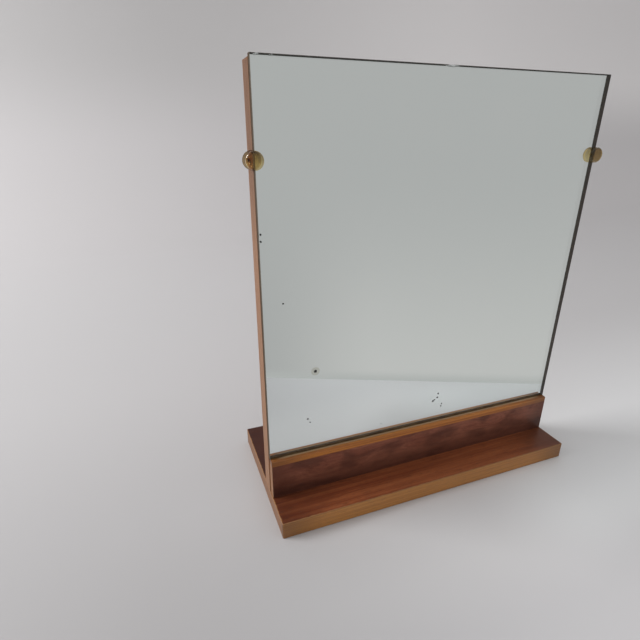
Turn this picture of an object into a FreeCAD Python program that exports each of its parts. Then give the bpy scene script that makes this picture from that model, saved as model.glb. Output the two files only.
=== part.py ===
import FreeCAD, Part
import os

# A tabletop vanity mirror: a veneered base board, an upright veneered panel, and a low rail
# in front of it that the glass stands on. Two plastic buttons hold the glass at its sides.
# Sizes are in millimetres. X runs along the width, the glass faces -Y and Z points up.
# The origin is on the table, under the middle of the base.

# Boards: a chipboard core, lipped round its edges with solid wood and veneered on both faces.
overall_width = 360.0
core_thickness = 17.6
veneer_thickness = 0.7
lipping_width = 5.0
arris = 0.4

# Base: the tray is the part of it in front of the rail.
base_depth = 167.0
tray_depth = 37.0
base_corner_radius = 1.5

# Rail: a veneered strip of board under a solid wooden cap. The ledge is the cap in front of the glass.
# Its ends are a little short of the panel's sides.
rail_height = 46.0
rail_end_inset = 0.8
ledge_depth = 5.0
cap_thickness = 6.0
cap_round = 1.6

# Mirror pane: thick plate, close in front of the panel.
glass_height = 363.0
glass_thickness = 5.0
glass_side_inset = 0.1
glass_proud = 2.0
glass_arris = 0.5
silvering_thickness = 0.1
paint_thickness = 0.1
pane_clearance = 0.3

# Clips: a round button over the edge of the glass, a half-round hub that reaches back along the side of
# the panel, and a tab screwed to that side.
clip_height = 289.0
clip_diameter = 15.0
clip_lip = 3.6
hub_on_panel = 5.0
clip_bevel = 1.8
tab_thickness = 2.8
tab_width = 9.6

# Clip screws, driven along X into the panel's sides.
clip_screw_diameter = 3.0
clip_screw_head = 5.6
clip_screw_length = 16.0

# Screws from below that hold the upright panel.
base_screw_diameter = 4.0
base_screw_head = 8.0
base_screw_length = 45.0
base_screw_recess = 0.4
base_screw_end_distance = 50.0

# Driver slot in the head of every screw.
screw_slot_width = 0.8
screw_slot_depth = 0.6

# Wooden dowels under the panel and under the rail.
panel_dowel_diameter = 8.0
panel_dowel_length = 36.0
panel_dowel_end_distance = 110.0
rail_dowel_diameter = 6.0
rail_dowel_length = 28.0
rail_dowel_end_distance = 80.0
dowel_depth_in_base = 13.0

# Room round every screw and dowel, and at the blind end of its hole.
hole_clearance = 0.05
hole_end_room = 1.0

# Places that follow from the sizes above.
side = overall_width / 2
board_thickness = core_thickness + 2 * veneer_thickness
base_top = board_thickness
base_front = -base_depth / 2
base_back = base_depth / 2
coat_thickness = silvering_thickness + paint_thickness
rail_depth = ledge_depth + glass_thickness + coat_thickness + pane_clearance
rail_front = base_front + tray_depth
rail_top = base_top + rail_height
cap_bottom = rail_top - cap_thickness
panel_front = rail_front + rail_depth
panel_back = panel_front + board_thickness
panel_middle = (panel_front + panel_back) / 2
glass_front = rail_front + ledge_depth
glass_back = glass_front + glass_thickness
glass_top = rail_top + glass_height
panel_top = glass_top - glass_proud
clip_centre = rail_top + clip_height
clip_radius = clip_diameter / 2

Vector = FreeCAD.Vector
X_AXIS = Vector(1, 0, 0)
Y_AXIS = Vector(0, 1, 0)
Z_AXIS = Vector(0, 0, 1)
SMALL = 1e-6


def block(x, y, z):
    """A box between the two limits given along each axis."""
    corner = Vector(x[0], y[0], z[0])
    return Part.makeBox(x[1] - x[0], y[1] - y[0], z[1] - z[0], corner)


def lies_on(edge, axis, value):
    """True for an edge whose points all have this coordinate along the axis."""
    box = edge.BoundBox
    low = Vector(box.XMin, box.YMin, box.ZMin).dot(axis)
    high = Vector(box.XMax, box.YMax, box.ZMax).dot(axis)
    return abs(low - value) < SMALL and abs(high - value) < SMALL


def round_edges(solid, radius, wanted):
    """Rounds every edge of the solid that the test picks."""
    return solid.makeFillet(radius, [edge for edge in solid.Edges if wanted(edge)])


def bevel_edges(solid, size, wanted):
    """Takes the sharp arris off every edge of the solid that the test picks."""
    return solid.makeChamfer(size, [edge for edge in solid.Edges if wanted(edge)])


def bore(solid, cutters):
    """The solid with every hole cut that reaches it."""
    for cutter in cutters:
        if solid.BoundBox.intersect(cutter.BoundBox):
            solid = solid.cut(cutter)
    return solid.removeSplitter()


def turned(points, start, direction):
    """A solid turned from half a profile of (radius, distance along the axis) points."""
    profile = [Vector(radius, 0, distance) for radius, distance in points]
    face = Part.Face(Part.makePolygon(profile + profile[:1]))
    solid = face.revolve(Vector(0, 0, 0), Z_AXIS, 360)
    solid.Placement = FreeCAD.Placement(start, FreeCAD.Rotation(Z_AXIS, direction))
    return solid


def countersunk_profile(diameter, head, length, room):
    """Half of a countersunk wood screw, its head at 0, with room added all round for a hole."""
    shank = diameter / 2 + room
    rim = head / 2 + room
    top = [(0, 0), (rim, 0), (shank, rim - shank)]
    if room:
        end = length + hole_end_room
        return top + [(shank, end), (0, end)]
    return top + [(shank, length - diameter), (0, length)]


def slotted(screw, head, start, direction, across):
    """The screw with a driver slot cut across its head."""
    corner = Vector(-head, -screw_slot_width / 2, 0)
    slot = Part.makeBox(2 * head, screw_slot_width, screw_slot_depth, corner)
    turn = FreeCAD.Rotation(across, direction.cross(across), direction, "ZXY")
    slot.Placement = FreeCAD.Placement(start, turn)
    return screw.cut(slot)


def dowel(diameter, length, x, y, room):
    """An upright dowel through the base's top, with room added all round for its hole."""
    end_room = hole_end_room if room else 0
    bottom = base_top - dowel_depth_in_base - end_room
    return Part.makeCylinder(diameter / 2 + room, length + 2 * end_room, Vector(x, y, bottom))


def mirrored(solid):
    """The same solid on the other side of the mirror."""
    return solid.mirror(Vector(0, 0, 0), X_AXIS)


# Fasteners, and the holes that they need.

base_screw_places = [
    Vector(x, panel_middle, base_screw_recess)
    for x in (base_screw_end_distance - side, 0, side - base_screw_end_distance)
]


def base_screws(room):
    """Three wood screws, driven up through the base into the panel."""
    profile = countersunk_profile(base_screw_diameter, base_screw_head, base_screw_length, room)
    return [turned(profile, place, Z_AXIS) for place in base_screw_places]


def base_screw_mouths():
    """The way in for each screw's head, from the underside of the base."""
    radius = base_screw_head / 2 + hole_clearance
    return [
        Part.makeCylinder(radius, base_screw_recess, Vector(place.x, place.y, 0))
        for place in base_screw_places
    ]


def panel_dowels(room):
    """Two dowels between the base and the panel."""
    x = side - panel_dowel_end_distance
    return [
        dowel(panel_dowel_diameter, panel_dowel_length, place, panel_middle, room)
        for place in (-x, x)
    ]


def rail_dowels(room):
    """Two dowels between the base and the rail."""
    x = side - rail_dowel_end_distance
    y = (rail_front + panel_front) / 2
    return [dowel(rail_dowel_diameter, rail_dowel_length, place, y, room) for place in (-x, x)]


clip_screw_start = Vector(side + tab_thickness, panel_middle, clip_centre)


def clip_screw(room):
    """The right clip's screw, driven inwards through the tab."""
    profile = countersunk_profile(clip_screw_diameter, clip_screw_head, clip_screw_length, room)
    return turned(profile, clip_screw_start, -X_AXIS)


clip_screw_holes = [clip_screw(hole_clearance), mirrored(clip_screw(hole_clearance))]
upright_holes = (
    base_screws(hole_clearance)
    + base_screw_mouths()
    + panel_dowels(hole_clearance)
    + rail_dowels(hole_clearance)
)
all_holes = upright_holes + clip_screw_holes

whole_width = (-side, side)
between_lippings = (lipping_width - side, side - lipping_width)
left_edge = (-side, lipping_width - side)
right_edge = (side - lipping_width, side)
rail_end = side - rail_end_inset
rail_width = (-rail_end, rail_end)


def base_board():
    """The base: a lipped core between two veneers, with its upright corners rounded."""
    depth = (base_front, base_back)
    core_depth = (base_front + lipping_width, base_back - lipping_width)
    core_height = (veneer_thickness, veneer_thickness + core_thickness)
    low = (0, veneer_thickness)
    high = (base_top - veneer_thickness, base_top)

    def cornered(z):
        blank = block(whole_width, depth, z)
        return round_edges(blank, base_corner_radius, lambda edge: edge.BoundBox.ZLength > SMALL)

    top = bevel_edges(cornered(high), arris, lambda edge: lies_on(edge, Z_AXIS, high[1]))
    bottom = bevel_edges(cornered(low), arris, lambda edge: lies_on(edge, Z_AXIS, low[0]))
    framed = cornered(core_height)

    def lipping(x, y):
        return framed.common(block(x, y, core_height))

    return {
        "base_core": block(between_lippings, core_depth, core_height),
        "base_top_veneer": top,
        "base_bottom_veneer": bottom,
        "base_front_lipping": lipping(whole_width, (base_front, core_depth[0])),
        "base_rear_lipping": lipping(whole_width, (core_depth[1], base_back)),
        "base_left_lipping": lipping(left_edge, core_depth),
        "base_right_lipping": lipping(right_edge, core_depth),
    }


def upright_panel():
    """The panel behind the glass: a core lipped at its sides and top, between two veneers."""
    height = (base_top, panel_top)
    core_height = (base_top, panel_top - lipping_width)
    core_depth = (panel_front + veneer_thickness, panel_back - veneer_thickness)
    back_veneer = block(whole_width, (core_depth[1], panel_back), height)

    def back_arris(edge):
        return lies_on(edge, Y_AXIS, panel_back) and not lies_on(edge, Z_AXIS, base_top)

    return {
        "panel_core": block(between_lippings, core_depth, core_height),
        "panel_front_veneer": block(whole_width, (panel_front, core_depth[0]), height),
        "panel_back_veneer": bevel_edges(back_veneer, arris, back_arris),
        "panel_left_lipping": block(left_edge, core_depth, height),
        "panel_right_lipping": block(right_edge, core_depth, height),
        "panel_top_lipping": block(between_lippings, core_depth, (core_height[1], panel_top)),
    }


def glass_rail():
    """The rail that the glass stands on: a lipped core, a front veneer and a rounded cap."""
    core_depth = (rail_front + veneer_thickness, panel_front)
    core_height = (base_top, cap_bottom)
    cap = block(rail_width, (rail_front, panel_front), (cap_bottom, rail_top))

    def front_arris(edge):
        return lies_on(edge, Y_AXIS, rail_front) and lies_on(edge, Z_AXIS, rail_top)

    return {
        "rail_core": block(between_lippings, core_depth, core_height),
        "rail_front_veneer": block(rail_width, (rail_front, core_depth[0]), core_height),
        "rail_left_lipping": block((-rail_end, left_edge[1]), core_depth, core_height),
        "rail_right_lipping": block((right_edge[0], rail_end), core_depth, core_height),
        "rail_cap": round_edges(cap, cap_round, front_arris),
    }


def mirror_pane():
    """The glass with its ground front edges, and the silvering and paint on its back."""
    width = (glass_side_inset - side, side - glass_side_inset)
    height = (rail_top, glass_top)
    plate = block(width, (glass_front, glass_back), height)
    silver_back = glass_back + silvering_thickness

    def front_arris(edge):
        return lies_on(edge, Y_AXIS, glass_front)

    return {
        "mirror_glass": bevel_edges(plate, glass_arris, front_arris),
        "mirror_silvering": block(width, (glass_back, silver_back), height),
        "mirror_back_paint": block(width, (silver_back, silver_back + paint_thickness), height),
    }


def clip_button():
    """The round button, turned about Y, with a bevel round its flat front."""
    front = glass_front - pane_clearance - clip_lip
    depth = panel_front + hub_on_panel - front
    half_profile = [
        (0, 0),
        (clip_radius - clip_bevel, 0),
        (clip_radius, clip_bevel),
        (clip_radius, depth),
        (0, depth),
    ]
    return turned(half_profile, Vector(side, front, clip_centre), Y_AXIS)


def clip_tab():
    """The tab with a round end that lies on the panel's side."""
    half = tab_width / 2
    low = clip_centre - half
    high = clip_centre + half
    lip_back = glass_front - pane_clearance

    def point(y, z):
        return Vector(side, y, z)

    end = point(panel_middle + half, clip_centre)
    outline = Part.Wire([
        Part.makeLine(point(lip_back, low), point(panel_middle, low)),
        Part.Arc(point(panel_middle, low), end, point(panel_middle, high)).toShape(),
        Part.makeLine(point(panel_middle, high), point(lip_back, high)),
        Part.makeLine(point(lip_back, high), point(lip_back, low)),
    ])
    return Part.Face(outline).extrude(X_AXIS * tab_thickness)


def right_clip():
    """The clip in one moulding: its lip hooks over the glass, its tab is drilled for the screw."""
    room_for_pane = block(
        (side - clip_diameter, side),
        (glass_front - pane_clearance, panel_front + hub_on_panel),
        (clip_centre - clip_diameter, clip_centre + clip_diameter),
    )
    clip = clip_button().cut(room_for_pane).fuse(clip_tab())
    return bore(clip.removeSplitter(), clip_screw_holes)


def clips():
    """Both clips, each with its slotted screw."""
    clip = right_clip()
    screw = slotted(clip_screw(0), clip_screw_head, clip_screw_start, -X_AXIS, Z_AXIS)
    return {
        "right_clip": clip,
        "left_clip": mirrored(clip),
        "right_clip_screw": screw,
        "left_clip_screw": mirrored(screw),
    }


def fasteners():
    """The hidden screws and dowels, each kind as one group of separate solids."""
    screws = [
        slotted(screw, base_screw_head, place, Z_AXIS, X_AXIS)
        for screw, place in zip(base_screws(0), base_screw_places)
    ]
    return {
        "panel_screws": Part.makeCompound(screws),
        "panel_dowels": Part.makeCompound(panel_dowels(0)),
        "rail_dowels": Part.makeCompound(rail_dowels(0)),
    }


wooden_pieces = {**base_board(), **upright_panel(), **glass_rail()}
pieces = {name: bore(solid, all_holes) for name, solid in wooden_pieces.items()}
pieces.update(mirror_pane())
pieces.update(clips())
pieces.update(fasteners())

os.makedirs("parts", exist_ok=True)
for name, shape in pieces.items():
    if not shape.isValid():
        raise ValueError(name + " isn't a valid solid")
    shape.exportStep("parts/" + name + ".step")
    print(name, len(shape.Solids), round(shape.Volume, 1))
print(len(pieces), "nodes; clips clear the glass after", clip_height + clip_radius, "mm of lift")
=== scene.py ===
# %% [markdown]
# # A tabletop vanity mirror
# A frameless pane stands on a low wooden rail, in front of an upright veneered panel, on a shallow base
# board. Two round buttons of yellowed plastic hold its sides. The boards, screws and dowels come from the
# CAD model, which is the fixed frame of this lesson. We model the pieces whose form carries the look,
# give every surface its finish, and then light and view the mirror as in the photograph.

# %% The frame
import math

import bmesh
import bpy
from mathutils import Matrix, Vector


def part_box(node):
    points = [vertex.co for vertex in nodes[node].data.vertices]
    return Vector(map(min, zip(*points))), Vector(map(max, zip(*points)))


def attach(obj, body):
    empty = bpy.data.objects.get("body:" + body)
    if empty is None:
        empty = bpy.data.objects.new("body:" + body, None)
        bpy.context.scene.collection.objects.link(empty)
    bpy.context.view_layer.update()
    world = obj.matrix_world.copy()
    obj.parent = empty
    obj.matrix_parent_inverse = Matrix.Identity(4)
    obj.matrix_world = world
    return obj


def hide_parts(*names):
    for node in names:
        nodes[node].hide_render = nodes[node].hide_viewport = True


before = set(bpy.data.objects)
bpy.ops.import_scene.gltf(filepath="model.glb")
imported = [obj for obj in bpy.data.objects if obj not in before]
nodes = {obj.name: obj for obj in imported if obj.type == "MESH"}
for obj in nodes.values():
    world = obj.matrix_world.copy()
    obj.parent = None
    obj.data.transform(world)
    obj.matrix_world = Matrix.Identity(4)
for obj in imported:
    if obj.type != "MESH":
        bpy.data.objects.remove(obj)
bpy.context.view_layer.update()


# %% [markdown]
# The frame says where each CAD piece lies, in metres: X runs along the width, the glass faces -Y and Z
# points up. Sizes could be typed in again, but then two copies of each would have to agree. So every new
# piece takes its place and size from the frame, and only what the frame can't tell is named here.

# %% Places that the frame gives
MM = 0.001
glass_low, glass_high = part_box("mirror_glass")
silver_low, silver_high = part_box("mirror_silvering")
panel_low, panel_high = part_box("panel_front_veneer")
rail_low, rail_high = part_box("rail_front_veneer")
base_low, base_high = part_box("base_top_veneer")
clip_low, clip_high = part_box("left_clip")
screw_low, screw_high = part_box("left_clip_screw")
glass_size = glass_high - glass_low
half_width = base_high.x
print("glass", [round(size / MM, 1) for size in glass_size], "mm")

# %% [markdown]
# Blender's modelling operators act on whatever is selected, as the mouse would leave it. Picking by hand
# isn't possible in a script, and counting face numbers breaks as soon as a shape changes. So the helpers
# below start from an empty selection and pick faces and edges by where they lie.

# %% Helpers that take a piece in hand
def deselect_all():
    """Empties the selection, so that an operator changes only the new piece."""
    bpy.ops.object.select_all(action="DESELECT")


def take(piece):
    """Makes a piece the only one in hand."""
    deselect_all()
    bpy.context.view_layer.objects.active = piece
    piece.select_set(True)


def settle(name):
    """Names the new object and moves its place, turn and size into its mesh."""
    piece = bpy.context.object
    piece.name = name
    bpy.ops.object.transform_apply(location=True, rotation=True, scale=True)
    return piece


def edit_mode(on):
    """Opens or closes the mesh of the piece in hand."""
    bpy.ops.object.mode_set(mode="EDIT" if on else "OBJECT")


deselect_all()
print(len(bpy.context.selected_objects), "pieces are selected")

# %% Helpers that pick by place and normal
TOUCH = 0.01 * MM
SQUARE_ON = 0.9


def near(value, target):
    """True where two coordinates are the same."""
    return abs(value - target) < TOUCH


def pick_faces(wanted):
    """Selects the faces whose middle and normal pass the test."""
    bpy.ops.mesh.select_mode(type="FACE")
    bpy.ops.mesh.select_all(action="DESELECT")
    mesh = bmesh.from_edit_mesh(bpy.context.object.data)
    mesh.normal_update()
    for face in mesh.faces:
        face.select_set(wanted(face.calc_center_median(), face.normal))
    bmesh.update_edit_mesh(bpy.context.object.data)
    return sum(face.select for face in mesh.faces)


def pick_edges(wanted):
    """Selects the edges whose two ends pass the test."""
    bpy.ops.mesh.select_mode(type="EDGE")
    bpy.ops.mesh.select_all(action="DESELECT")
    mesh = bmesh.from_edit_mesh(bpy.context.object.data)
    for edge in mesh.edges:
        edge.select_set(wanted(edge.verts[0].co, edge.verts[1].co))
    bmesh.update_edit_mesh(bpy.context.object.data)
    return sum(edge.select for edge in mesh.edges)


print("places within", round(TOUCH / MM, 3), "mm count as one")

# %% Helpers that shape and close a mesh
MERGE_REACH = 0.001 * MM


def extrude(direction):
    """Draws the selected faces or edges out along a direction."""
    bpy.ops.mesh.extrude_region_move(TRANSFORM_OT_translate={"value": direction})


def finish_with(kind, **settings):
    """Adds a modifier to the piece in hand, sets it and applies it."""
    modifier = bpy.context.object.modifiers.new(kind.title(), kind)
    for name, value in settings.items():
        setattr(modifier, name, value)
    bpy.ops.object.modifier_apply(modifier=modifier.name)


def cut_away(piece, tool):
    """Takes the shape of a tool out of a piece, and puts the tool away."""
    take(piece)
    finish_with("BOOLEAN", object=tool, operation="DIFFERENCE", solver="EXACT")
    bpy.data.objects.remove(tool)


def close_up(piece):
    """Merges doubled points and turns every face outwards."""
    edit_mode(True)
    bpy.ops.mesh.select_all(action="SELECT")
    bpy.ops.mesh.remove_doubles(threshold=MERGE_REACH)
    bpy.ops.mesh.normals_make_consistent(inside=False)
    edit_mode(False)
    print(piece.name, len(piece.data.vertices), "points,", len(piece.data.polygons), "faces")


print("doubled points merge within", round(MERGE_REACH / MM, 4), "mm")

# %% [markdown]
# ## The button clips
# A button clip is one clear moulding: a disc whose front rim is well rounded, a half-round hub behind its
# outer half, and a tab that lies along the panel's side and takes a screw. Blocks could be fused with
# booleans, but a moulding flows, so the clip is drawn out of a single disc: its back is split, the outer
# half becomes the hub, and a strip of the hub becomes the tab.

# %% The disc and its rounded rim
lip_clearance = 0.3 * MM
rim_round = 2.2 * MM
rim_steps = 8
disc_sides = 64
side_plane = (clip_low.x + clip_high.x) / 2
clip_middle = (clip_low.z + clip_high.z) / 2
button_radius = (clip_high.z - clip_low.z) / 2
lip_front = clip_low.y
lip_back = glass_low.y - lip_clearance

deselect_all()
bpy.ops.mesh.primitive_cylinder_add(
    vertices=disc_sides,
    radius=button_radius,
    depth=lip_back - lip_front,
    location=(side_plane, (lip_front + lip_back) / 2, clip_middle),
    rotation=(math.radians(90), 0, 0),
)
left_clip = settle("left_button_clip")
edit_mode(True)
rim_edges = pick_edges(lambda one, other: near(one.y, lip_front) and near(other.y, lip_front))
bpy.ops.mesh.bevel(offset=rim_round, segments=rim_steps, affect="EDGES")
print("rounded", rim_edges, "rim edges to", round(rim_round / MM, 1), "mm")

# %% The hub beside the glass
hub_on_panel = 5.0 * MM
hub_end = panel_low.y + hub_on_panel
panel_gap = 0.03 * MM
hub_face = side_plane - panel_gap

pick_faces(lambda middle, normal: near(middle.y, lip_back) and normal.y > SQUARE_ON)
bpy.ops.mesh.bisect(plane_co=(hub_face, 0, 0), plane_no=(1, 0, 0))
outer_half = pick_faces(lambda middle, normal: near(middle.y, lip_back) and middle.x < hub_face)
extrude((0, hub_end - lip_back, 0))
print("hub drawn out of", outer_half, "face, to", round((hub_end - lip_back) / MM, 1), "mm")

# %% The tab along the panel's side
tab_face = screw_low.x
tab_end = clip_high.y
screw_axis = (screw_low.y + screw_high.y) / 2
half_tab = tab_end - screw_axis
tab_cuts = {
    (1, 0, 0): tab_face,
    (0, 0, 1): clip_middle + half_tab,
    (0, 0, -1): half_tab - clip_middle,
}
for cut_normal, distance in tab_cuts.items():
    pick_faces(lambda middle, normal: near(middle.y, hub_end) and normal.y > SQUARE_ON)
    bpy.ops.mesh.bisect(plane_co=[step * distance for step in cut_normal], plane_no=cut_normal)
pick_faces(
    lambda middle, normal: near(middle.y, hub_end)
    and middle.x > tab_face
    and abs(middle.z - clip_middle) < half_tab
)
extrude((0, tab_end - hub_end, 0))
print("tab", round((side_plane - tab_face) / MM, 1), "mm thick")

# %% The tab's round end
# The two roundings stop just short of each other: where they met, their points would fall together.
end_round = 0.998 * half_tab
end_steps = 16


def across_tab_end(one, other):
    """True for the two edges that run through the tab's thickness at its far end."""
    at_end = near(one.y, tab_end) and near(other.y, tab_end)
    return at_end and near(one.z, other.z)


end_edges = pick_edges(across_tab_end)
bpy.ops.mesh.bevel(offset=end_round, segments=end_steps, affect="EDGES")
edit_mode(False)
print("end rounded at", end_edges, "edges")

# %% Softened edges
moulded_edge = 0.3 * MM
moulded_steps = 3
sharp_angle = math.radians(50)

finish_with(
    "BEVEL",
    width=moulded_edge,
    segments=moulded_steps,
    limit_method="ANGLE",
    angle_limit=sharp_angle,
)
print("softened edges leave", len(left_clip.data.polygons), "faces")

# %% The countersunk screw hole
hole_room = 0.05 * MM
shank_radius = 1.5 * MM
head_radius = (screw_high.z - screw_low.z) / 2
hole_radius = shank_radius + hole_room
sink_radius = head_radius + hole_room
countersink = sink_radius - hole_radius
drill_sides = 32
smooth_angle = math.radians(35)

deselect_all()
bpy.ops.mesh.primitive_cone_add(
    vertices=drill_sides,
    radius1=hole_radius,
    radius2=sink_radius,
    depth=countersink,
    location=(tab_face + countersink / 2, screw_axis, clip_middle),
    rotation=(0, math.radians(-90), 0),
)
drill = settle("clip_drill")
edit_mode(True)
pick_faces(lambda middle, normal: normal.x > SQUARE_ON)
extrude((side_plane - tab_face, 0, 0))
pick_faces(lambda middle, normal: normal.x < -SQUARE_ON)
extrude((-moulded_edge, 0, 0))
edit_mode(False)
close_up(drill)
cut_away(left_clip, drill)
close_up(left_clip)
bpy.ops.object.shade_smooth_by_angle(angle=smooth_angle)

# %% [markdown]
# The right clip is the left one in a looking glass. A Mirror modifier would join both into one piece, and
# the two are separate on the bench, so the left clip is copied with a mesh of its own and turned over
# across X = 0. That turns its faces inside out, so they are made to point outwards again.

# %% The right clip
take(left_clip)
bpy.ops.object.duplicate(linked=False)
right_clip = bpy.context.object
right_clip.name = "right_button_clip"
edit_mode(True)
bpy.ops.mesh.select_all(action="SELECT")
bpy.ops.transform.resize(value=(-1, 1, 1), center_override=(0, 0, 0))
edit_mode(False)
close_up(right_clip)

# %% [markdown]
# ## The pane
# The pane is 5 mm plate with its front edges ground to a narrow flat, and years of handling have flaked
# a few shells off its top edge. A plain block with a mirror finish would lose the dark lines that show
# where glass ends. So the plate is real glass in front of the silver, its rim has finishes of its own, and
# its back lies inside the silver coat, so that no gap of air shows between them. Its foot stays a hair above
# the cap: two faces in one place would flicker.

# %% The plate and its ground edges
ground_edge = 0.5 * MM
plate_back = (silver_low.y + silver_high.y) / 2
plate_depth = plate_back - glass_low.y
foot_gap = 0.02 * MM
plate_foot = glass_low.z + foot_gap

deselect_all()
bpy.ops.mesh.primitive_cube_add(
    size=1,
    location=(
        (glass_low.x + glass_high.x) / 2,
        glass_low.y + plate_depth / 2,
        (plate_foot + glass_high.z) / 2,
    ),
    scale=(glass_size.x, plate_depth, glass_high.z - plate_foot),
)
plate = settle("mirror_plate")
edit_mode(True)
front_edges = pick_edges(lambda one, other: near(one.y, glass_low.y) and near(other.y, glass_low.y))
bpy.ops.mesh.bevel(offset=ground_edge, segments=1, affect="EDGES")
edit_mode(False)
print("ground", front_edges, "front edges")

# %% Shells flaked off the top edge
# Each flake: its place along the top edge and its length, both in millimetres.
flakes = ((-174.2, 3.4), (-162.9, 1.6), (-4.0, 13.0))
flake_depth = 1.0 * MM
flake_height = 0.9 * MM
flake_tilt = math.radians(4)
flake_fineness = 3

for place, length in flakes:
    deselect_all()
    bpy.ops.mesh.primitive_ico_sphere_add(
        subdivisions=flake_fineness,
        radius=1,
        location=(place * MM, glass_low.y, glass_high.z),
        scale=(length * MM / 2, flake_depth, flake_height),
        rotation=(0, flake_tilt, 0),
    )
    cut_away(plate, settle("flake"))
close_up(plate)

# %% [markdown]
# ## Riding and replacing
# Each new piece stands for a CAD piece and moves with the body that carries it. The clips stay with the
# stand. The plate goes with the pane, which lifts out of the clips.

# %% What moves with what
for piece, body, node, slot in (
    (left_clip, "stand", "left_clip", "amber_plastic"),
    (right_clip, "stand", "right_clip", "amber_plastic"),
    (plate, "mirror_pane", "mirror_glass", "pane_glass"),
):
    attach(piece, body)
    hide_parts(node)
    print(piece.name, "rides on", body, "and stands for", node)

# %% [markdown]
# ## Shader maths as plain Python
# A finish is a net of nodes, and drawing one line by line hides its idea. The small class below wraps a
# socket, so that plus, minus and times on it add Math nodes, and one method adds any other node. Colours
# are mixed by Mix nodes, because a Math node would turn them grey.

# %% A wire between shader nodes
def fill(node, sockets):
    """Sets the sockets of a node to values, or links them to wires."""
    for name, value in sockets.items():
        if isinstance(value, Wire):
            node.id_data.links.new(value.socket, node.inputs[name])
        else:
            node.inputs[name].default_value = value


class Wire:
    """A socket that carries a value over a surface."""

    def __init__(self, socket):
        self.socket = socket

    def node(self, kind, settings, sockets, output=0):
        """Adds a node: its settings come first, then the values or links of its sockets."""
        made = self.socket.id_data.nodes.new("ShaderNode" + kind)
        for name, value in settings.items():
            setattr(made, name, value)
        fill(made, sockets)
        return Wire(made.outputs[output])

    def maths(self, operation, first, second):
        """Adds a Math node."""
        return self.node("Math", {"operation": operation}, {0: first, 1: second})

    def __add__(self, other):
        return self.maths("ADD", self, other)

    def __radd__(self, other):
        return self.maths("ADD", other, self)

    def __sub__(self, other):
        return self.maths("SUBTRACT", self, other)

    def __rsub__(self, other):
        return self.maths("SUBTRACT", other, self)

    def __mul__(self, other):
        return self.maths("MULTIPLY", self, other)

    def __rmul__(self, other):
        return self.maths("MULTIPLY", other, self)

    def ease(self, low, high):
        """0 at low and before it, 1 at high and beyond it, and a soft step between them."""
        settings = {"interpolation_type": "SMOOTHSTEP"}
        return self.node("MapRange", settings, {"Value": self, "From Min": low, "From Max": high})

    def mix(self, first, second, way="MIX"):
        """A colour between two, by this value."""
        settings = {"data_type": "RGBA", "blend_type": way}
        return self.node("Mix", settings, {0: self, 6: first, 7: second}, output=2)


print("a wire takes plus, minus and times from both sides")

# %% Colours, and a finish to start from
def colour(red, green, blue):
    """A colour as a picker shows it, 0 to 255, turned into the linear values that shaders take."""
    shares = [part / 255 for part in (red, green, blue)]
    linear = [s / 12.92 if s < 0.04045 else ((s + 0.055) / 1.055) ** 2.4 for s in shares]
    return (*linear, 1.0)


def new_finish(name):
    """A material, its shader, and the wire that carries each point's place in the object."""
    material = bpy.data.materials.new(name)
    material.use_nodes = True
    shader = material.node_tree.nodes["Principled BSDF"]
    coordinates = material.node_tree.nodes.new("ShaderNodeTexCoord")
    return material, shader, Wire(coordinates.outputs["Object"])


def surface(material, skin):
    """Puts a shader of our own on a material's output."""
    fill(material.node_tree.nodes["Material Output"], {"Surface": skin})


print("half grey is", round(colour(128, 128, 128)[0], 3), "in a shader")

# %% Patterns over a surface
def speckle(place, size, detail=2.0, roughness=0.5):
    """Noise whose patches are about that size, a length or one length for each axis."""
    sizes = size if isinstance(size, tuple) else (size, size, size)
    scaled = place.node("Mapping", {}, {"Vector": place, "Scale": [1 / length for length in sizes]})
    sockets = {"Vector": scaled, "Scale": 1.0, "Detail": detail, "Roughness": roughness}
    return place.node("TexNoise", {}, sockets)


def along(grain, length, width):
    """Patch sizes that are long in the direction of the grain and narrow across it."""
    return tuple(length if axis == grain else width for axis in "XYZ")


def bumped(height, depth):
    """A surface that rises and sinks by that depth with the height."""
    return height.node("Bump", {}, {"Strength": 1.0, "Distance": depth, "Height": height})


def part_of(place, axis):
    """One coordinate of a place or a direction."""
    return place.node("SeparateXYZ", {}, {"Vector": place}, output="XYZ".index(axis))


def size_of(value):
    """A value without its sign."""
    return value.node("Math", {"operation": "ABSOLUTE"}, {0: value})


def facing(place, axis):
    """1 where the surface faces along an axis, either way, and 0 where it lies along it."""
    normal = place.node("NewGeometry", {}, {}, output=1)
    return size_of(part_of(normal, axis))


def largest(values):
    """The largest of some values at each point."""
    most = values[0]
    for value in values[1:]:
        most = most.maths("MAXIMUM", most, value)
    return most


print("a patch with its grain along X measures, for example,", along("X", 300, 3), "mm")

# %% [markdown]
# ## The veneer
# The boards are faced with a dark, reddish veneer under satin lacquer. Its grain is long streaks, finer
# fibres and short pores, all drawn out one way, so each is a noise that is stretched along the grain. An
# image would repeat and smear round the edges, but noise in the piece's own metres never does. Where the
# thin veneer ends at an edge, hands have rubbed it to the paler colour of the lippings. Behind the panel
# and in the corner of the tray the colour is painted deeper, as shade. The base's veneer is painted
# darker towards its ends, as shade that offsets the window's light on its left end.

# %% The veneer's figure and its rubbed edges
RUBBED_PATCH = 5 * MM
RUBBED_RAGGED = 1.6 * MM
SIDE_WEAR = (half_width - 1.0 * MM, half_width - 0.4 * MM)
FRONT_WEAR = (-base_low.y - 0.9 * MM, -base_low.y - 0.3 * MM)


def stray(place, grain, wander):
    """Places that drift across the grain, so that a figure drawn on them isn't straight."""
    drift = speckle(place, along(grain, 60 * MM, 24 * MM), detail=1.0) - 0.5
    push = place.node("CombineXYZ", {}, {axis: drift * wander for axis in "XYZ" if axis != grain})
    return place.node("VectorMath", {"operation": "ADD"}, {0: place, 1: push})


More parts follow.
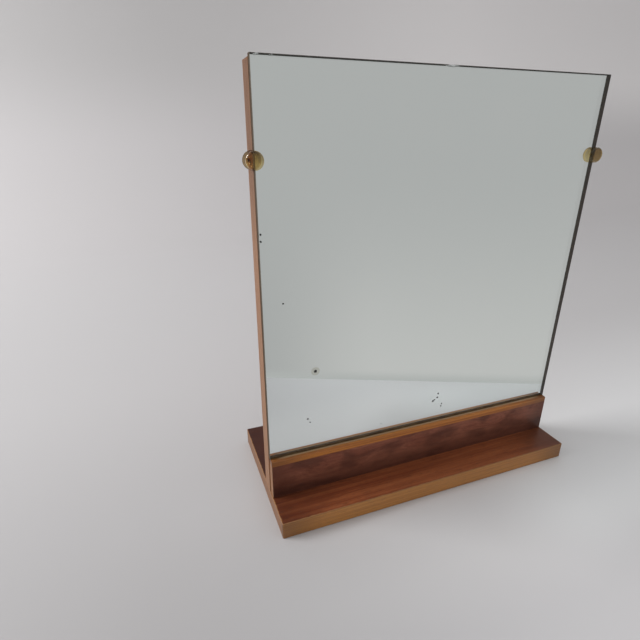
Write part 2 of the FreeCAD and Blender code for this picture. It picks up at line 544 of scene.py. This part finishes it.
def rubbed(place, face):
    """1 where the veneer is rubbed through: on its thin edge, and along the base's sides and front."""
    on_edge = 1 - facing(place, face).ease(0.3, 0.6)
    ragged = RUBBED_RAGGED * (speckle(place, RUBBED_PATCH, detail=3.0) - 0.5)
    to_side = size_of(part_of(place, "X")) + ragged
    to_front = ragged - part_of(place, "Y")
    return largest([on_edge, to_side.ease(*SIDE_WEAR), to_front.ease(*FRONT_WEAR)])


print("edges are rubbed in patches of", round(RUBBED_PATCH / MM, 1), "mm")

# %% Veneer finish
VENEER_SATIN = 0.31
SATIN_SPREAD = 0.1
VENEER_LACQUER = 0.25
VENEER_RELIEF = 0.04 * MM
FIBRE_SHARE = 0.3
PORE_SHARE = 0.5
RUBBED = colour(150, 108, 68)
PORE = colour(44, 21, 15)
CLOUD = colour(54, 31, 26)
DEEP_TONE_AND_PAINTED_SHADE = colour(46, 22, 16)


def veneer(name, grain, face, dark, light, wander, mottle, ends, deepens):
    """Reddish veneer, its grain along one axis and its face across another, between two tones.

    wander, mottle: how far its figure strays, and how strongly it clouds.
    ends: how much its ends darken, and from which share of the half width; on the base, painted shade.
    deepens: how much its colour deepens, along which axis, and between which two places.
    On the base and the rail this is painted shade.
    """
    material, shader, place = new_finish(name)
    wavy = stray(place, grain, wander)
    streaks = speckle(wavy, along(grain, 300 * MM, 2.6 * MM), detail=3.0)
    broad = speckle(wavy, along(grain, 420 * MM, 22 * MM), detail=1.0)
    fibres = speckle(wavy, along(grain, 60 * MM, 0.7 * MM))
    pores = speckle(wavy, along(grain, 9 * MM, 0.3 * MM), detail=0.0).ease(0.62, 0.72)
    clouds = speckle(wavy, along(grain, 36 * MM, 15 * MM)).ease(0.42, 0.68)
    wood = (0.5 * streaks + 0.5 * broad).ease(0.3, 0.7).mix(dark, light)
    wood = (mottle * clouds).mix(wood, CLOUD)
    # Painted shade: the colour deepens behind the panel and in the rail's corner; the panel darkens towards
    # its foot.
    deep_share, axis, start, end = deepens
    wood = (deep_share * part_of(place, axis).ease(start, end)).mix(wood, DEEP_TONE_AND_PAINTED_SHADE)
    # Darker towards the ends; on the base this is painted shade.
    end_share, end_start = ends
    to_end = size_of(part_of(place, "X")).ease(end_start * half_width, half_width)
    wood = (end_share * to_end).mix(wood, DEEP_TONE_AND_PAINTED_SHADE)
    wood = (FIBRE_SHARE * fibres).mix(wood, dark)
    wood = (PORE_SHARE * pores).mix(wood, PORE)
    wood = rubbed(place, face).mix(wood, RUBBED)
    fill(shader, {
        "Base Color": wood,
        "Roughness": VENEER_SATIN + SATIN_SPREAD * fibres,
        "Specular IOR Level": VENEER_LACQUER,
        "Normal": bumped(fibres - pores, VENEER_RELIEF),
    })
    return material


print("the veneer's satin is", VENEER_SATIN, "to", round(VENEER_SATIN + SATIN_SPREAD, 2))

# %% The three veneers
red_tones = {"dark": colour(110, 50, 30), "light": colour(168, 99, 61)}
plum_tones = {"dark": colour(130, 74, 56), "light": colour(173, 111, 87)}
painted_shade_behind_panel = (0.86, "Y", panel_high.y, panel_high.y + 30 * MM)
painted_shade_in_rail_corner = (0.75, "Z", rail_high.z, rail_low.z)
at_the_foot = (0.65, "Z", panel_low.z + 60 * MM, panel_low.z)
# The base veneer's darker ends are painted shade, which offsets the window's light on its left end.
base_veneer = veneer("base veneer", "X", "Z", **red_tones,
                     wander=3 * MM, mottle=0.1, ends=(0.64, 0.5), deepens=painted_shade_behind_panel)
rail_veneer = veneer("rail veneer", "X", "Y", **plum_tones,
                     wander=26 * MM, mottle=0.6, ends=(0.5, 0.8), deepens=painted_shade_in_rail_corner)
panel_veneer = veneer("panel veneer", "Z", "Y", **red_tones,
                      wander=6 * MM, mottle=0.2, ends=(0.3, 0.5), deepens=at_the_foot)
print("three veneers:", base_veneer.name, rail_veneer.name, panel_veneer.name)

# %% [markdown]
# ## The lippings
# The edges are lipped with solid, honey-coloured wood under the same lacquer, and the rail's cap is a
# warmer piece of it. It is straight-grained and even, so its streaks are faint. Each strip is cut along its
# length, so the grain follows the strip, and there is one finish for each direction. Cut ends drink more
# lacquer and are a little darker. So are the ends of the long strips, and the top of the upright ones is
# painted darker, as shade. The sides have lost most of their lacquer, and their greyer, pinker tones are
# painted sheen, the pale look that they have at a slant. On the cap a pale line runs before the pane: it
# is painted light, for the light that the pane throws down there.

# %% Lipping finish
LIPPING_SATIN = 0.33
LIPPING_RELIEF = 0.03 * MM
LIPPING_PORE_SHARE = 0.4
LIPPING_PORE = colour(92, 58, 32)
CUT_END_SHARE = 0.6
CUT_END = colour(92, 56, 30)
DARKER_ENDS_AND_PAINTED_SHADE = colour(62, 34, 16)
DARKER_ENDS_FROM = 0.7 * half_width
PAINTED_SHADE_TOP = (panel_high.z - 160 * MM, panel_high.z - 60 * MM)
PAINTED_BOUNCE_LIGHT = colour(206, 176, 136)
BOUNCE_LIGHT_REACH = 3 * MM
BOUNCE_LIGHT_STOPS = (0.9 * half_width, 0.97 * half_width)


def lipping(name, grain, dark, light, ends=0.0, top=0.0, dust=0.0, lacquer=0.5):
    """Solid wood with its grain along one axis, between two tones.

    ends, top: how much its ends are darkened, and how much painted shade darkens its top.
    dust, lacquer: how much painted light lies before the pane, and how much lacquer is left.
    """
    material, shader, place = new_finish(name)
    streaks = speckle(place, along(grain, 180 * MM, 1.6 * MM), detail=3.0)
    fibres = speckle(place, along(grain, 30 * MM, 0.5 * MM))
    pores = speckle(place, along(grain, 7 * MM, 0.3 * MM), detail=0.0).ease(0.64, 0.74)
    wood = streaks.ease(0.25, 0.75).mix(dark, light)
    wood = (FIBRE_SHARE * fibres).mix(wood, dark)
    wood = (LIPPING_PORE_SHARE * pores).mix(wood, LIPPING_PORE)
    cut_end = facing(place, grain).ease(0.6, 0.9)
    wood = (CUT_END_SHARE * cut_end).mix(wood, CUT_END)
    from_middle = size_of(part_of(place, "X"))
    # Darker towards the ends of the long strips, and painted shade towards the top of the upright ones.
    wood = (ends * from_middle.ease(DARKER_ENDS_FROM, half_width)).mix(wood, DARKER_ENDS_AND_PAINTED_SHADE)
    wood = (top * part_of(place, "Z").ease(*PAINTED_SHADE_TOP)).mix(wood, DARKER_ENDS_AND_PAINTED_SHADE)
    # A pale line before the pane: painted light, for the light that the pane throws down there.
    before_pane = part_of(place, "Y").ease(glass_low.y - BOUNCE_LIGHT_REACH, glass_low.y)
    off_ends = 1 - from_middle.ease(*BOUNCE_LIGHT_STOPS)
    wood = (dust * before_pane * off_ends).mix(wood, PAINTED_BOUNCE_LIGHT)
    fill(shader, {
        "Base Color": wood,
        "Roughness": LIPPING_SATIN + SATIN_SPREAD * fibres,
        "Specular IOR Level": lacquer,
        "Normal": bumped(fibres - pores, LIPPING_RELIEF),
    })
    return material


print("hands darken the last", round((half_width - DARKER_ENDS_FROM) / MM), "mm of a long strip")

# %% The four lippings
honey_tones = {"dark": colour(164, 105, 46), "light": colour(191, 131, 62)}
# The sides are the same honey wood; their greyer, pinker tones are painted sheen, the pale look at a slant.
side_tones_with_painted_sheen = {"dark": colour(140, 102, 76), "light": colour(159, 118, 90)}
orange_tones = {"dark": colour(155, 85, 24), "light": colour(208, 132, 46)}
worn_off = 0.06
lipping_by_grain = {
    "X": lipping("lipping along X", "X", **honey_tones, ends=0.47),
    "Y": lipping("lipping along Y", "Y", **side_tones_with_painted_sheen, ends=0.2, lacquer=worn_off),
    # The upright strips darken towards the top: painted shade.
    "Z": lipping("lipping along Z", "Z", **side_tones_with_painted_sheen, top=0.42, lacquer=worn_off),
}
# The cap's pale line before the pane is painted light.
cap_finish = lipping("rail cap", "X", **orange_tones, ends=0.5, dust=0.85)
print("lippings:", [material.name for material in lipping_by_grain.values()], cap_finish.name)

# %% [markdown]
# ## The hidden wood
# Inside the boards is chipboard, chips pressed flat in glue, and dowels of pale beech place the boards.
# Noise would make the chips run into each other. Chips are cells with a colour each, which a Voronoi
# pattern gives in one node.

# %% Chipboard and beech
def chipboard(chip_size):
    """Pressed chips, each cell in its own shade."""
    material, shader, place = new_finish("pressed chipboard")
    scaled = place.node("Mapping", {}, {"Vector": place, "Scale": [1 / chip_size] * 3})
    chip = place.node("TexVoronoi", {}, {"Vector": scaled, "Scale": 1.0}, output=1)
    shade = place.node("SeparateColor", {}, {"Color": chip})
    dust = speckle(place, 0.6 * MM)
    wood = shade.mix(colour(150, 118, 80), colour(202, 172, 128))
    wood = (0.4 * dust).mix(wood, colour(122, 90, 58))
    fill(shader, {
        "Base Color": wood,
        "Roughness": 0.75 + 0.2 * dust,
        "Normal": bumped(dust + shade, 0.15 * MM),
    })
    return material


def beech(grain):
    """Pale dowel wood with short flecks along its grain."""
    material, shader, place = new_finish("dowel beech")
    streaks = speckle(place, along(grain, 40 * MM, 1.5 * MM))
    flecks = speckle(place, along(grain, 3 * MM, 0.5 * MM), detail=0.0).ease(0.6, 0.7)
    wood = streaks.mix(colour(196, 158, 116), colour(220, 188, 146))
    wood = (0.5 * flecks).mix(wood, colour(166, 122, 82))
    fill(shader, {"Base Color": wood, "Roughness": 0.6 + 0.15 * streaks})
    return material


core_finish = chipboard(chip_size=4 * MM)
dowel_finish = beech("Z")
print("hidden wood:", core_finish.name, dowel_finish.name)

# %% [markdown]
# ## The glass
# The plate is clear float glass, faintly green, and its ground rim is dull and dark. A single mirror shader
# would be simpler, but glass over silver gives the double lines at the foot and the top for nothing. Lamp
# light finds its way through glass only by chance, so for lamp rays the plate is a plain, clear skin.

# %% Glass and its ground rim
GLASS_INDEX = 1.52
RIM_SHEEN = 0.1
FINE_GRIT = 1.2 * MM
FOOT_DIRT = 9 * MM


def lit_through(material, shader, place, tint):
    """Lets lamp light pass a clear piece, so that what lies behind it isn't black."""
    lamp_ray = place.node("LightPath", {}, {}, output=1)
    clear = place.node("BsdfTransparent", {}, {"Color": tint})
    surface(material, place.node("MixShader", {}, {0: lamp_ray, 1: Wire(shader.outputs[0]), 2: clear}))


def plate_glass():
    """Clear glass with the faint green of float glass, and a trace of dust."""
    material, shader, place = new_finish("pane glass")
    dust = speckle(place, 40 * MM, detail=3.0)
    fill(shader, {
        "Base Color": dust.mix(colour(251, 253, 252), colour(253, 254, 253)),
        "Roughness": 0.0,
        "IOR": GLASS_INDEX,
        "Transmission Weight": 1.0,
    })
    lit_through(material, shader, place, colour(244, 247, 245))
    return material


def ground_rim(name, dark, light, patch):
    """The dull edge of old glass, in patches of two tones."""
    material, shader, place = new_finish(name)
    grit = speckle(place, patch, detail=3.0)
    fill(shader, {
        "Base Color": grit.ease(0.3, 0.7).mix(dark, light),
        "Roughness": 0.45 + 0.25 * grit,
        "Specular IOR Level": RIM_SHEEN,
    })
    return material


glass_finish = plate_glass()
side_rim = ground_rim("glass sides", colour(62, 46, 32), colour(86, 67, 50), FINE_GRIT)
# The top rim's dark colour is painted shade, where one looks into the edge.
top_rim = ground_rim("glass top", colour(50, 45, 38), colour(74, 68, 58), FINE_GRIT)
foot_rim = ground_rim("glass foot", colour(92, 68, 42), colour(122, 94, 60), FOOT_DIRT)
flat_rim = ground_rim("ground flats", colour(106, 99, 88), colour(130, 124, 113), FINE_GRIT)
print("glass:", [finish.name for finish in (glass_finish, side_rim, top_rim, foot_rim, flat_rim)])

# %% [markdown]
# The rim is brown at the sides, where it is seen from outside. At the top, where one looks into it, it is
# painted dark, as shade.
# The foot stands on the cap, and dirt and the wood's colour show through it in patches. The flats ground
# along the sides are pale, and the flakes keep the clear glass, as a break does. A piece can carry several
# finishes, so each kind of face is picked by its place and normal and given its own.

# %% The plate's finishes
def finish_faces(piece, overall, by_place):
    """Gives a piece one finish all over, and then each test's own finish to the faces that pass it."""
    for finish in (overall, *by_place.values()):
        piece.data.materials.append(finish)
    take(piece)
    edit_mode(True)
    for slot, (test, finish) in enumerate(by_place.items(), start=1):
        picked = pick_faces(test)
        piece.active_material_index = slot
        bpy.ops.object.material_slot_assign()
        print(picked, "faces of", piece.name, "with", finish.name)
    edit_mode(False)


# A flat ground at 45 degrees faces about 0.707 along each of two axes.
SLANT_LOW = 0.7
SLANT_HIGH = 0.75
STRAIGHT = 0.99


def at_sides(middle, normal):
    """True for the two upright sides."""
    return abs(normal.x) > STRAIGHT


def at_top(middle, normal):
    """True for the top and the flat beside it."""
    return near(normal.x, 0) and normal.z > SLANT_LOW and middle.z > glass_high.z - ground_edge


def at_foot(middle, normal):
    """True for the foot and the flat beside it."""
    return near(normal.x, 0) and normal.z < -SLANT_LOW


def on_flats(middle, normal):
    """True for the flats ground along the sides."""
    return SLANT_LOW < abs(normal.x) < SLANT_HIGH and near(normal.z, 0)


finish_faces(plate, glass_finish, {
    at_sides: side_rim,
    at_top: top_rim,
    at_foot: foot_rim,
    on_flats: flat_rim,
})

# %% [markdown]
# ## The silver and its paint
# Behind the glass lies the silver, which has aged: here and there the coat has lifted and a dark spot shows,
# one with a brown halo. Stains made by noise look like dirt, so the spots are placed one by one, and noise
# only makes their outlines ragged. The paint that protects the silver's back is matt and brushed on.

# %% Silver with its age spots
# Each spot: its place along the width, its height over the table, its radius and its halo, in millimetres.
age_spots = (
    (-128.9, 156.6, 2.0, 5.0),
    (-159.7, 231.4, 1.1, 0.0),
    (-177.3, 295.3, 1.1, 0.0),
    (-177.3, 289.3, 1.0, 0.0),
    (13.8, 90.9, 1.6, 0.0),
    (15.8, 92.2, 1.2, 0.0),
    (19.3, 94.7, 1.4, 0.0),
    (19.9, 99.7, 1.3, 0.0),
    (26.2, 84.9, 1.1, 0.0),
    (25.7, 81.8, 1.0, 0.0),
    (-137.4, 102.8, 1.1, 0.0),
    (-135.0, 98.3, 0.8, 0.0),
    (-51.8, 76.4, 0.6, 0.0),
)
SPOT_RAGGED = 1.4 * MM
SPOT_CORE = 0.6
HALO_CORE = 0.8
HALO_SHARE = 0.35
HALO = colour(190, 184, 150)
BARE = colour(26, 22, 18)


def silver():
    """A bright coat with a few dark age spots."""
    material, shader, place = new_finish("aged silver")
    flat = place.node("VectorMath", {"operation": "MULTIPLY"}, {0: place, 1: (1, 0, 1)})
    ragged = (speckle(place, 1.6 * MM, detail=2.0) - 0.5) * SPOT_RAGGED
    spots = []
    halos = []
    for across, height, radius, halo in age_spots:
        sockets = {0: flat, 1: (across * MM, 0, height * MM)}
        distance = flat.node("VectorMath", {"operation": "DISTANCE"}, sockets, output=1) + ragged
        spots.append(1 - distance.ease(SPOT_CORE * radius * MM, radius * MM))
        if halo:
            halos.append(1 - distance.ease(HALO_CORE * halo * MM, halo * MM))
    lost = largest(spots)
    haze = speckle(place, 70 * MM, detail=2.0)
    coat = haze.mix(colour(249, 254, 254), colour(251, 255, 255))
    coat = (HALO_SHARE * largest(halos)).mix(coat, HALO)
    coat = lost.mix(coat, BARE)
    fill(shader, {"Base Color": coat, "Metallic": 1 - lost, "Roughness": 0.7 * lost})
    return material


silver_finish = silver()
print(len(age_spots), "age spots on the", silver_finish.name)

# %% Back paint
def back_paint():
    """Matt protective paint, laid on with a wide brush."""
    material, shader, place = new_finish("back paint")
    strokes = speckle(place, along("X", 120 * MM, 2 * MM), detail=3.0)
    grain = speckle(place, 0.5 * MM)
    fill(shader, {
        "Base Color": strokes.mix(colour(112, 74, 60), colour(134, 92, 74)),
        "Roughness": 0.7 + 0.2 * grain,
        "Normal": bumped(strokes, 0.05 * MM),
    })
    return material


paint_finish = back_paint()
print("behind it:", paint_finish.name)

# %% [markdown]
# ## The yellowed plastic
# The buttons were clear once and have yellowed. The panel's side, the glass's edge and the screw show
# through them, almost unbent. A refracting shader would turn the thick hub black, because light caught in it
# seldom finds its way out, so the plastic is a tinted, transparent shader: each skin that a ray crosses
# takes its share of blue. The tint is deeper towards the top and paler towards the foot: painted shade and
# light. The gloss over it is a share of a bright, mirroring skin, and grows at a slant. The rounded rim, the
# flat over the glass and the round side of the hub each have a tint of their own, because a ray crosses
# another depth there. The rim's tint darkens most towards the top, which is painted shade, the dark
# outline of the clear moulding.

# %% Amber plastic
GLOSS_HEAD_ON = 0.04


def amber_plastic(name, low, high, gloss):
    """Clear plastic, yellowed and lightly scuffed.

    low, high: its tint at the clip's foot and at its top.
    gloss: how strongly it shines at a slant.
    """
    material, shader, place = new_finish(name)
    scuffs = speckle(place, 0.7 * MM).ease(0.55, 0.75)
    fill(shader, {
        "Base Color": scuffs.mix(colour(250, 248, 240), colour(236, 226, 200)),
        "Metallic": 1.0,
        "Roughness": 0.06 + 0.12 * scuffs,
    })
    # Painted shade and light: the tint deepens towards the top and pales towards the foot.
    upper = part_of(place, "Z").ease(clip_low.z, clip_high.z)
    foot = place.node("BsdfTransparent", {}, {"Color": low})
    head = place.node("BsdfTransparent", {}, {"Color": high})
    body = place.node("MixShader", {}, {0: upper, 1: foot, 2: head})
    slant = place.node("LayerWeight", {}, {"Blend": 0.5}, output=1)
    shine = GLOSS_HEAD_ON + gloss * slant * slant
    surface(material, place.node("MixShader", {}, {0: shine, 1: body, 2: Wire(shader.outputs[0])}))
    return material


amber = amber_plastic("amber plastic", colour(250, 237, 196), colour(242, 225, 180), gloss=0.1)
# The rim's deep tint towards the top is painted shade, the dark outline of the clear moulding.
amber_rim = amber_plastic("amber rim", colour(238, 226, 194), colour(196, 177, 142), gloss=0.6)
amber_flat = amber_plastic("amber over glass", colour(242, 236, 218), colour(200, 192, 176), gloss=0.0)
amber_side = amber_plastic("amber side", colour(170, 151, 120), colour(152, 132, 101), gloss=0.1)
print("plastic:", [finish.name for finish in (amber, amber_rim, amber_flat, amber_side)])

# %% The clips' finishes
hub_skin = 0.9 * button_radius
FRONT_FACE = 0.995
UPRIGHT = 0.5


def on_rim(middle, normal):
    """True for the rounded front rim of a button."""
    return middle.y < lip_front + rim_round and normal.y > -FRONT_FACE


def over_glass(middle, normal):
    """True for the flat of a button that lies over the glass."""
    return near(middle.y, lip_back) and normal.y > SQUARE_ON


def round_side(middle, normal):
    """True for the round outer side of a hub."""
    off_axis = math.hypot(abs(middle.x) - abs(side_plane), middle.z - clip_middle)
    outside = abs(middle.x) > abs(side_plane) and off_axis > hub_skin
    return outside and middle.y > lip_front + rim_round and abs(normal.y) < UPRIGHT


for clip in (left_clip, right_clip):
    finish_faces(clip, amber, {on_rim: amber_rim, over_glass: amber_flat, round_side: amber_side})

# %% [markdown]
# ## The screws
# Small brass screws hold the clips, and zinc-plated ones hold the panel from below. New metal would be one
# shiny colour, but these have stood for years, so a noise breaks the shine with tarnish.

# %% Brass and zinc plate
def worn_metal(name, bright, dull, roughness):
    """Metal whose shine is broken by tarnish."""
    material, shader, place = new_finish(name)
    tarnish = speckle(place, 1.5 * MM, detail=4.0, roughness=0.6).ease(0.35, 0.7)
    fill(shader, {
        "Base Color": tarnish.mix(bright, dull),
        "Metallic": 1.0,
        "Roughness": roughness + 0.25 * tarnish,
        "Normal": bumped(tarnish, 0.02 * MM),
    })
    return material


brass_finish = worn_metal("dull brass", colour(196, 158, 92), colour(118, 88, 48), 0.3)
steel_finish = worn_metal("zinc plate", colour(196, 197, 200), colour(142, 142, 146), 0.35)
print("metals:", brass_finish.name, steel_finish.name)

# %% [markdown]
# ## Finishes on the CAD pieces
# Every CAD piece gets its finish by name, and each lipping the one whose grain follows its length. One
# finish for all lippings would be shorter, but then the grain would run across some of them.

# %% Hand out the finishes
finish_of = {
    "base_core": core_finish,
    "panel_core": core_finish,
    "rail_core": core_finish,
    "base_top_veneer": base_veneer,
    "base_bottom_veneer": base_veneer,
    "rail_front_veneer": rail_veneer,
    "panel_front_veneer": panel_veneer,
    "panel_back_veneer": panel_veneer,
    "base_front_lipping": lipping_by_grain["X"],
    "base_rear_lipping": lipping_by_grain["X"],
    "base_left_lipping": lipping_by_grain["Y"],
    "base_right_lipping": lipping_by_grain["Y"],
    "panel_left_lipping": lipping_by_grain["Z"],
    "panel_right_lipping": lipping_by_grain["Z"],
    "panel_top_lipping": lipping_by_grain["X"],
    "rail_left_lipping": lipping_by_grain["Z"],
    "rail_right_lipping": lipping_by_grain["Z"],
    "rail_cap": cap_finish,
    "mirror_glass": glass_finish,
    "mirror_silvering": silver_finish,
    "mirror_back_paint": paint_finish,
    "left_clip": amber,
    "right_clip": amber,
    "left_clip_screw": brass_finish,
    "right_clip_screw": brass_finish,
    "panel_screws": steel_finish,
    "panel_dowels": dowel_finish,
    "rail_dowels": dowel_finish,
}
for name, node in nodes.items():
    node.data.materials.clear()
    node.data.materials.append(finish_of[name])
print("finishes on", len(nodes), "CAD pieces")

# %% [markdown]
# ## Stage, light and camera
# The mirror stands on a pale floor that sweeps up into a backdrop, so that no line cuts the picture behind
# it. The floor could be one grey, but daylight in a room is never so even, so its tone changes softly from
# place to place. This is painted light and shade: darker at the front left and towards the very front, and
# lighter at the right beside the base, where it offsets the panel's shadow.

# %% The floor's finish
def pale_sweep(front_left, front_right, right, near_dimmed, back, far, above_left, above_right):
    """A smooth, pale finish whose tone changes softly over the floor and up the backdrop, by metres."""
    material, shader, place = new_finish("pale floor")
    across, depth, height = [part_of(place, axis) for axis in "XYZ"]
    # Painted light and shade over the floor; the lighter patch at the right offsets the panel's shadow.
    from_the_left = across.ease(-0.32, 0.08)
    painted_light_at_right = across.ease(0.02, 0.14) * depth.ease(-0.24, -0.14)
    close_by = depth.ease(-0.16, -0.24)
    behind = depth.ease(-0.35, 0.3)
    far_off = depth.ease(0.5, 1.8)
    up_high = height.ease(0.3, 0.8)
    tint = from_the_left.mix(front_left, front_right)
    tint = painted_light_at_right.mix(tint, right)
    tint = close_by.mix(tint, near_dimmed, way="MULTIPLY")
    tint = behind.mix(tint, back)
    tint = far_off.mix(tint, far)
    tint = up_high.mix(tint, across.ease(-0.2, 1.9).mix(above_left, above_right))
    fill(shader, {"Base Color": tint, "Roughness": 0.5})
    return material


floor_finish = pale_sweep(
    front_left=colour(171, 169, 170),
    front_right=colour(219, 217, 218),
    right=colour(241, 242, 243),
    near_dimmed=colour(246, 246, 247),
    back=colour(199, 197, 198),
    far=colour(204, 201, 202),
    above_left=colour(192, 190, 190),
    above_right=colour(234, 231, 231),
)
print("floor:", floor_finish.name)

# %% Floor and backdrop
floor_half_width = 6.0
floor_front = -3.0
floor_back = 2.4
backdrop_height = 2.4
sweep_radius = 1.2
sweep_steps = 16

deselect_all()
bpy.ops.mesh.primitive_plane_add(size=1, location=(0, (floor_front + floor_back) / 2, 0))
bpy.context.object.scale = (2 * floor_half_width, floor_back - floor_front, 1)
floor = settle("floor")
edit_mode(True)
pick_edges(lambda one, other: near(one.y, floor_back) and near(other.y, floor_back))
extrude((0, 0, backdrop_height))
pick_edges(lambda one, other: all(near(end.y, floor_back) and near(end.z, 0) for end in (one, other)))
bpy.ops.mesh.bevel(offset=sweep_radius, segments=sweep_steps, affect="EDGES")
edit_mode(False)
bpy.ops.object.shade_smooth()
floor.data.materials.append(floor_finish)
print("floor sweeps up", backdrop_height, "m behind the mirror")

# %% [markdown]
# A mirror shows what lies in front of it. An empty stage would leave the pane blank, so a plain grey card
# stands there, as in a studio. Neither the camera nor the lamp's light meets it, and its foot on the floor
# gives the pane the level line that makes a mirror read as one.

# %% The card that the mirror shows
card_distance = 0.2676
card_turn = math.radians(22.9)
card_half_width = 4.0
card_height = 3.0

deselect_all()
bpy.ops.mesh.primitive_plane_add(size=1)
bpy.context.object.scale = (2 * card_half_width, card_height, 1)
card = settle("reflected_card")
edit_mode(True)
bpy.ops.mesh.select_all(action="SELECT")
bpy.ops.transform.translate(value=(0, card_height / 2, 0))
edit_mode(False)
card.rotation_euler = (math.radians(90), 0, card_turn)
card.location = (0, -card_distance, 0)
bpy.ops.object.transform_apply(location=True, rotation=True, scale=True)
card.visible_camera = False
card.visible_diffuse = False
card.visible_shadow = False
print("card stands", card_distance, "m in front of the origin")

# %% The card's greys
def glowing_card(left, right, upper, foot):
    """A card that glows in soft greys, from left to right, towards its upper part and along its foot."""
    material, _, place = new_finish("grey card")
    height = part_of(place, "Z")
    shade = part_of(place, "X").ease(-0.14, 0.06).mix(left, right)
    shade = height.ease(0.0, 0.35).mix(shade, upper)
    shade = height.ease(0.0, 0.02).mix(foot, shade)
    surface(material, place.node("Emission", {}, {"Color": shade}))
    return material


card.data.materials.append(glowing_card(
    left=colour(170, 169, 168),
    right=colour(192, 190, 188),
    upper=colour(175, 174, 173),
    foot=colour(178, 178, 176),
))
print("card:", card.data.materials[0].name)

# %% [markdown]
# Daylight comes from one wide window at the left and a little behind, and a dim room fills the shadows. A
# lamp beside the camera would be easier, but it would light the front faces, which are dark on the real
# mirror, and take away the soft shadow along the front of the base.

# %% Light
window_power = 70.0
window_side = 1.4
window_place = Vector((-2.6, 0.8, 1.9))
window_aim = Vector((0.0, 0.0, 0.1))
room_low = (0.47, 0.47, 0.47, 1.0)
room_high = (0.61, 0.61, 0.61, 1.0)

world = bpy.data.worlds.new("room")
world.use_nodes = True
world_nodes = world.node_tree.nodes
direction = Wire(world_nodes.new("ShaderNodeTexCoord").outputs["Generated"])
upwards = part_of(direction, "Z").ease(-0.2, 1.0)
fill(world_nodes["Background"], {"Color": upwards.mix(room_low, room_high), "Strength": 1.0})
bpy.context.scene.world = world

deselect_all()
bpy.ops.object.light_add(type="AREA", location=window_place)
window = bpy.context.object
window.name = "window"
window.data.size = window_side
window.data.energy = window_power
window.rotation_euler = (window_aim - window_place).to_track_quat("-Z", "Y").to_euler()
print(window.name, "light of", window_power, "W")

# %% [markdown]
# The photograph was taken by hand from the left, a little above the middle of the pane. The camera's
# place, turn and lens were worked out from the edges of the boards, so that they fall where the photograph
# has them.

# %% Camera
PHOTO_SIDE = 640
FOCAL_PIXELS = 449.62
sensor_side = 36.0
nearest_view = 0.01
camera_place = (-0.26245, -0.40802, 0.37088)
camera_turn = math.radians(20.53)
camera_dip = math.radians(22.10)

bpy.ops.object.camera_add(location=camera_place)
camera = bpy.context.object
camera.rotation_euler = (math.radians(90) - camera_dip, 0, -camera_turn)
camera.data.sensor_width = sensor_side
camera.data.lens = sensor_side * FOCAL_PIXELS / PHOTO_SIDE
camera.data.clip_start = nearest_view
bpy.context.scene.camera = camera
bpy.context.scene.view_settings.view_transform = "Standard"
print("lens", round(camera.data.lens, 2), "mm")
